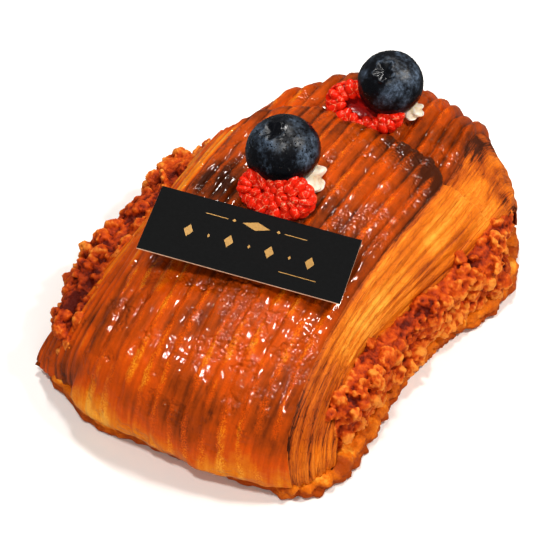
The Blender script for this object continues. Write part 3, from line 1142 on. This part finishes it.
class PASTRY_OT_blueberries(bpy.types.Operator):
    """Two blueberries with their starry crowns, the front one beaded with water"""

    bl_idname = "pastry.blueberries"
    bl_label = "Blueberries"

    def execute(self, context):
        settings = context.scene.pastry.topping
        material = finish(blueberry_skin_with_bloom)
        for name, berry in BERRIES.items():
            seed = berry["seed"]
            around, polar = sphere_grid(120, 90)
            polar = math.pi * (polar / math.pi) ** 1.25
            direction = np.stack([
                np.sin(polar) * np.cos(around), np.sin(polar) * np.sin(around), np.cos(polar)], -1)
            star = 0.5 + 0.5 * np.cos(5.0 * around + 0.5 * random_field(direction, 0.5, seed))
            rim_at = 0.27 + 0.09 * star
            rim = np.exp(-(((polar - rim_at) / 0.055) ** 2)) * (0.35 + 0.65 * star)
            pit = 1.0 - smooth_step(polar / rim_at)
            reach = berry["radius"] * (1.0 + 0.012 * random_field(direction, 0.7, seed + 1))
            reach = reach + 0.42 * rim - 1.0 * pit + 0.05 * random_field(direction, 0.12, seed + 2)
            local = direction * reach[..., None] * (1.0, 1.0, BERRY_FLATNESS)
            points = local @ turned_frame(berry["calyx"]).T + node_centre(name)
            up = points[..., 2] - points[..., 2].mean()
            bloom = 0.24 + 0.03 * up + 0.35 * random_field(direction, 0.5, seed + 3) - 0.3 * pit + 0.2 * rim
            piece_name = name.replace("blueberry", "berry")
            skin = write_round(piece_name, points, material, "bloom", bloom, (0.0, 0.4))
            if berry["wet"]:
                run_tree(skin, droplet_tree(material), {
                    "Droplet Size": settings.droplet_size, "Droplet Spacing": settings.droplet_spacing,
                    "Seed": DROPLET_SEED})
            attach(skin, BODY)
            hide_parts(name)
        return {"FINISHED"}


def raspberry_dish(half, turn):
    """Body of a raspberry half under its drupelets, hollow in the middle of the cut face."""
    around, polar = sphere_grid(96, 60)
    wide, high = half["half_size"]
    lobe = np.abs(np.cos(7.0 * around))
    reach = np.sin(polar) ** 0.8 * (0.90 + 0.05 * lobe)
    face_side = polar < math.pi / 2
    cup = half["hollow"] * np.cos(np.minimum(polar, math.pi / 2)) ** 1.5
    rim = 0.5 * np.exp(-(((reach - 0.8) / 0.2) ** 2))
    back = -6.6 * np.abs(np.cos(polar)) ** 0.8
    local = np.stack([wide * reach * np.cos(around), high * reach * np.sin(around),
                      np.where(face_side, rim - cup, back)], -1)
    ripe = np.where(face_side, 0.42 + 0.4 * cup / 3.0, 0.45) + 0.25 * random_field(local, 1.6, half["seed"])
    return local @ turn.T + half["centre"], ripe


def drupelets(half, turn, along, facing):
    """Place, size and turn of each drupelet: rings over the cut face and one more row behind its rim."""
    rng = random.Random(half["seed"])
    wide, high = half["half_size"]
    spots, turns, sizes = [], [], []
    for reach, count, length in half["rings"]:
        for i in range(count):
            angle = 2.0 * math.pi * (i + rng.uniform(-0.15, 0.15)) / count
            spread = math.hypot(wide * math.sin(angle), high * math.cos(angle)) * reach
            spots.append((wide * reach * math.cos(angle), high * reach * math.sin(angle),
                          rng.uniform(-0.3, 0.3) - 0.5 * half["hollow"] * (1.0 - reach)))
            sizes.append((length * rng.uniform(0.85, 1.15), 0.75 * math.pi * spread / count + 0.45,
                          1.15 * rng.uniform(0.8, 1.2)))
            outward = turn @ np.array((high * math.cos(angle), wide * math.sin(angle), -0.8))
            turns.append(turned_frame(np.cross(outward, np.cross(facing, outward)), outward))
    rim_count = half["rings"][0][1]
    for i in range(rim_count):
        angle = 2.0 * math.pi * (i + 0.5) / rim_count
        spots.append((wide * 0.84 * math.cos(angle), high * 0.8 * math.sin(angle), -1.8))
        sizes.append((1.7, 1.9, 1.7))
        outward = turn @ np.array((high * math.cos(angle), wide * math.sin(angle), 0.0))
        turns.append(turned_frame(outward, facing))
    return half["centre"] + np.array(spots) @ turn.T, sizes, [Matrix(rows).to_euler() for rows in turns]


def join_objects(name, objects):
    """One object from several that share a material and their attributes."""
    form = bmesh.new()
    for obj in objects:
        form.from_mesh(obj.data)
    mesh = form_mesh(form, name)
    mesh.materials.append(objects[0].data.materials[0])
    mesh.shade_smooth()
    for obj in objects:
        bpy.data.objects.remove(obj, do_unlink=True)
    return new_object(name, mesh)


class PASTRY_OT_raspberries(bpy.types.Operator):
    """Two raspberry halves whose drupelets spread round the cut face"""

    bl_idname = "pastry.raspberries"
    bl_label = "Raspberries"

    def execute(self, context):
        material = finish(cut_raspberry_flesh)
        tree = drupelet_tree(material)
        for name, half in RASPBERRIES.items():
            lean = math.radians(half["lean"])
            along = np.array(half["along"])
            facing = np.array((along[1], -along[0], 0.0)) * math.sin(lean) + (0.0, 0.0, math.cos(lean))
            turn = turned_frame(facing, along)
            dish, ripe = raspberry_dish(half, turn)
            body = write_round("dish", dish, material, "ripe", ripe, (0.6, 0.4))
            spots, sizes, turns = drupelets(half, turn, along, facing)
            seeds = write_mesh("drupelets", spots, [], [])
            for key, values in (("turn", turns), ("size", np.array(sizes) * MM)):
                attribute = seeds.data.attributes.new(key, "FLOAT_VECTOR", "POINT")
                attribute.data.foreach_set("vector", np.array(values, np.float32).ravel())
            run_tree(seeds, tree, {"Fineness": DRUPELET_FINENESS})
            piece = join_objects(name.replace("raspberry", "raspberry_half"), [body, seeds])
            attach(piece, BODY)
            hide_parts(name)
        return {"FINISHED"}


class PASTRY_OT_cream(bpy.types.Operator):
    """Piped cream beside each blueberry"""

    bl_idname = "pastry.cream"
    bl_label = "Cream"

    def execute(self, context):
        material = finish(fresh_whipped_cream)
        for name, dab in CREAMS.items():
            around, polar = sphere_grid(120, 50)
            wide, deep, high = dab["half_size"]
            level = np.cos(polar)
            lobe = np.cos(dab["lobes"] * (around + 0.8 * level))
            ruffle = np.abs(np.cos(9.0 * level + 0.6 * lobe))
            reach = np.sin(polar) ** 0.7 * (1.0 + 0.15 * lobe - 0.06 * (1.0 - ruffle))
            up = high * np.where(level > 0, level, 0.25 * level)
            points = np.stack([wide * reach * np.cos(around), deep * reach * np.sin(around), up], -1)
            points += np.array((*dab["place"], dab["level"]))
            fold = 0.5 - 0.3 * lobe + 0.25 * (1.0 - ruffle)
            piece_name = name.replace("cream", "piped_cream")
            piece = write_round(piece_name, points, material, "fold", fold, (0.3, 0.5))
            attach(piece, BODY)
            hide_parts(name)
        return {"FINISHED"}


def lozenge(x, y, half_width, half_height):
    return ((x - half_width, y), (x, y - half_height), (x + half_width, y), (x, y + half_height))


def bar(x, y, length, width):
    return ((x - length / 2, y - width / 2), (x + length / 2, y - width / 2),
            (x + length / 2, y + width / 2), (x - length / 2, y + width / 2))


class PASTRY_OT_card(bpy.types.Operator):
    """Black card with a plain gold ornament"""

    bl_idname = "pastry.card"
    bl_label = "Card"

    def execute(self, context):
        centre = node_centre("label_card")
        turn = Matrix.Identity(3)
        for angle, axis in CARD_TURNS:
            turn = Matrix.Rotation(math.radians(angle), 3, axis) @ turn
        form = bmesh.new()
        bmesh.ops.create_cube(form, size=1.0)
        bmesh.ops.scale(form, vec=CARD_SIZE, verts=form.verts)
        edges = [edge for edge in form.edges if abs(edge.verts[0].co.z - edge.verts[1].co.z) < 0.1]
        bmesh.ops.bevel(form, geom=edges, offset=CARD_ROUNDING, segments=2, profile=0.5, affect="EDGES")
        for face in form.faces:
            face.material_index = 0 if abs(face.normal.z) > 0.9 else 1
        bmesh.ops.rotate(form, cent=(0, 0, 0), matrix=turn, verts=form.verts)
        bmesh.ops.translate(form, vec=centre + PLAN_SHIFT, verts=form.verts)
        bmesh.ops.scale(form, vec=(MM, MM, MM), verts=form.verts)
        mesh = form_mesh(form, "card")
        for describe in (black_card, card_edge):
            mesh.materials.append(finish(describe))
        card = new_object("card", mesh)
        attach(card, BODY)
        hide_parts("label_card")
        self.add_print(centre, np.array(turn))
        return {"FINISHED"}

    def add_print(self, centre, turn):
        """Row of lozenges and dots between two short rules, with one large lozenge above."""
        outlines = []
        for i in range(PRINT_MARKS):
            size = PRINT_MARK_HEIGHTS[i % 2]
            outlines.append(lozenge((i - (PRINT_MARKS - 1) / 2) * PRINT_SPACING, -0.9, size * 0.6, size))
        outlines.append(lozenge(0.0, PRINT_TOP, 3.4, 1.3))
        for side in (-1, 1):
            outlines.append(lozenge(side * 5.4, PRINT_TOP, 0.5, 0.5))
            outlines.append(bar(side * 9.6, PRINT_TOP, 5.4, 0.24))
        outlines.append(bar(13.0, -5.6, 9.0, 0.22))
        points, faces = [], []
        for outline in outlines:
            start = len(points)
            count = len(outline)
            for level in (0.0, PRINT_THICKNESS):
                points += [(x, y, CARD_SIZE[2] / 2 + level) for x, y in outline]
            faces.append(tuple(range(start + count - 1, start - 1, -1)))
            faces.append(tuple(range(start + count, start + 2 * count)))
            for i in range(count):
                j = (i + 1) % count
                faces.append((start + i, start + j, start + count + j, start + count + i))
        ornament = write_mesh("card_print", np.array(points) @ turn.T + centre, faces, [finish(gold_ink)])
        ornament.data.shade_flat()
        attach(ornament, BODY)


class PASTRY_OT_stage(bpy.types.Operator):
    """Pale floor, soft studio light and the camera"""

    bl_idname = "pastry.stage"
    bl_label = "Stage"

    def execute(self, context):
        settings = context.scene.pastry.stage
        scene = context.scene
        mesh = bpy.data.meshes.new("floor")
        corners = [(x * FLOOR_REACH, y * FLOOR_REACH, -FLOOR_DROP)
                   for x, y in ((-1, -1), (1, -1), (1, 1), (-1, 1))]
        mesh.from_pydata(corners, [], [(0, 1, 2, 3)])
        mesh.materials.append(finish(pale_floor))
        floor = new_object("floor", mesh)
        floor.visible_glossy = False
        for name, place, size, power, colour in LIGHTS:
            lamp = bpy.data.lights.new(name, "AREA")
            lamp.size, lamp.energy, lamp.color = size, power, colour
            light = new_object(name, lamp)
            light.location = place
            light.visible_glossy = name != "fill"
            light.rotation_euler = (-Vector(place)).to_track_quat("-Z", "Y").to_euler()
        world = bpy.data.worlds.new("studio")
        world.use_nodes = True
        world.node_tree.nodes["Background"].inputs["Color"].default_value = (1.0, 1.0, 1.0, 1.0)
        world.node_tree.nodes["Background"].inputs["Strength"].default_value = WORLD_STRENGTH
        scene.world = world
        back = Vector((
            math.sin(settings.azimuth) * math.cos(settings.elevation),
            -math.cos(settings.azimuth) * math.cos(settings.elevation), math.sin(settings.elevation)))
        lens = bpy.data.cameras.new("camera")
        lens.lens = settings.lens
        camera = new_object("camera", lens)
        camera.location = Vector(settings.aim) + back * settings.distance
        camera.rotation_euler = (-back).to_track_quat("-Z", "Y").to_euler()
        scene.camera = camera
        scene.view_settings.view_transform = "Standard"
        scene.view_settings.look = "Medium High Contrast"
        return {"FINISHED"}


OPERATORS = (
    PASTRY_OT_front_flap, PASTRY_OT_back_flap, PASTRY_OT_base_sheet, PASTRY_OT_filling, PASTRY_OT_blueberries,
    PASTRY_OT_raspberries, PASTRY_OT_cream, PASTRY_OT_card, PASTRY_OT_stage,
)


class PASTRY_PT_panel(bpy.types.Panel):
    """Buttons that build the pastry, piece by piece, and the settings that they use"""

    bl_label = "Turnover Pastry"
    bl_space_type = "VIEW_3D"
    bl_region_type = "UI"
    bl_category = "Pastry"

    def draw(self, context):
        settings = context.scene.pastry
        for operator in OPERATORS:
            self.layout.operator(operator.bl_idname)
        for group in (settings.dough, settings.filling, settings.topping, settings.stage):
            box = self.layout.box()
            for key in group.__annotations__:
                box.prop(group, key)


CLASSES = (
    PastryDoughSettings, PastryFillingSettings, PastryToppingSettings, PastryStageSettings, PastrySettings,
    *OPERATORS, PASTRY_PT_panel,
)


def register():
    for cls in CLASSES:
        bpy.utils.register_class(cls)
    bpy.types.Scene.pastry = PointerProperty(type=PastrySettings)


def unregister():
    del bpy.types.Scene.pastry
    for cls in reversed(CLASSES):
        bpy.utils.unregister_class(cls)


def main():
    register()
    for operator in OPERATORS:
        group, name = operator.bl_idname.split(".")
        getattr(getattr(bpy.ops, group), name)()


if __name__ == "__main__":
    main()
